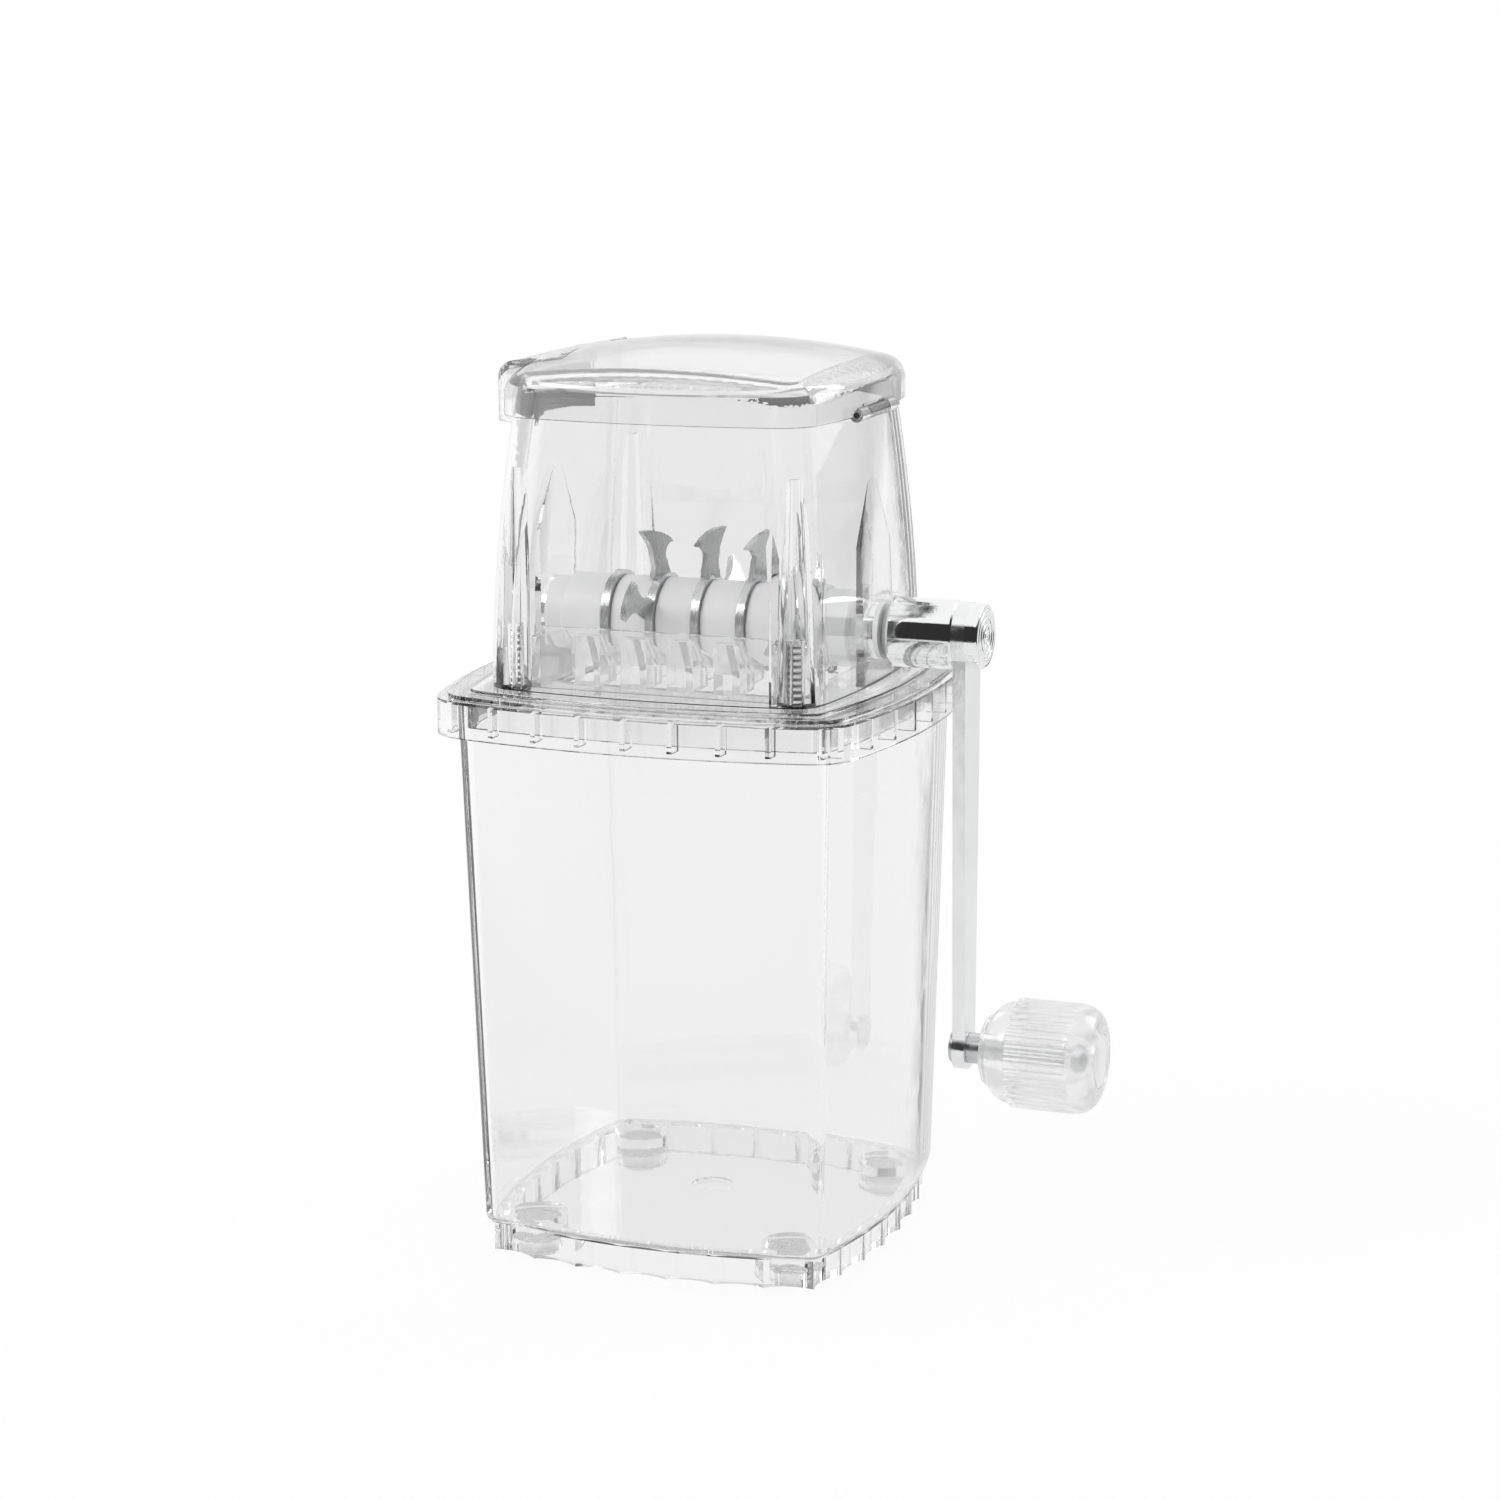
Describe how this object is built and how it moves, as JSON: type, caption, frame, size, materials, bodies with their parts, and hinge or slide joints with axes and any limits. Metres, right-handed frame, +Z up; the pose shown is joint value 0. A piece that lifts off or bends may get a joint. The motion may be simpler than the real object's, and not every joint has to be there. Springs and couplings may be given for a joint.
{
  "type": "hand crank ice crusher",
  "caption": "Clear square hand cranked ice crusher: a bin below, a tapered hopper with a bladed rotor between combs, a hinged lid and a side crank with a turning knob.",
  "frame": {"origin": "on the table under the middle of the square bin", "axes": "+Z up, +X along the rotor's shaft towards the crank, -Y towards the front"},
  "size_m": [0.1689, 0.123, 0.2385],
  "materials": {
    "clear_plastic": "clear, polished",
    "clear_lid": "clear, polished",
    "clear_knob": "clear, polished",
    "chrome": "bright chrome",
    "stainless": "bright stamped stainless",
    "steel_pin": "bright turned",
    "grey_nylon": "satin",
    "white_nylon": "satin",
    "foot_rubber": "matte"
  },
  "bodies": {
    "bin": {"bin": "clear_plastic", "foot_1": "foot_rubber", "foot_2": "foot_rubber", "foot_3": "foot_rubber", "foot_4": "foot_rubber"},
    "housing": {"collar": "clear_plastic", "hopper": "clear_plastic", "housing_screws": "steel_pin", "comb_front": "clear_plastic", "comb_rear": "clear_plastic", "bush_right": "white_nylon", "lid_hinge_pin": "steel_pin"},
    "lid": {"lid": "clear_lid"},
    "rotor": {"shaft": "stainless", "blade_1": "stainless", "blade_2": "stainless", "blade_3": "stainless", "blade_4": "stainless", "blade_5": "stainless", "spacer_1": "grey_nylon", "spacer_2": "grey_nylon", "spacer_3": "grey_nylon", "spacer_4": "grey_nylon", "spacer_5": "grey_nylon", "spacer_6": "grey_nylon", "crank_hub": "chrome", "crank_arm": "chrome", "crank_cap_nut": "chrome", "knob_pin": "steel_pin", "knob_washer": "steel_pin"},
    "knob": {"knob": "clear_knob", "knob_cap": "clear_knob"}
  },
  "joints": [
    {"name": "housing_lift", "type": "slide", "parent": "bin", "child": "housing", "axis": [0, 0, 1], "range_m": [0, 0.12]},
    {"name": "lid_hinge", "type": "hinge", "parent": "housing", "child": "lid", "pos_m": [0.04537, 0, 0.2218], "axis": [0, 1, 0], "range_deg": [0, 90]},
    {"name": "crank_spin", "type": "hinge", "parent": "housing", "child": "rotor", "pos_m": [0, 0, 0.165], "axis": [1, 0, 0], "continuous": true},
    {"name": "knob_spin", "type": "hinge", "parent": "rotor", "child": "knob", "pos_m": [0.09, 0, 0.056], "axis": [1, 0, 0], "continuous": true}
  ]
}
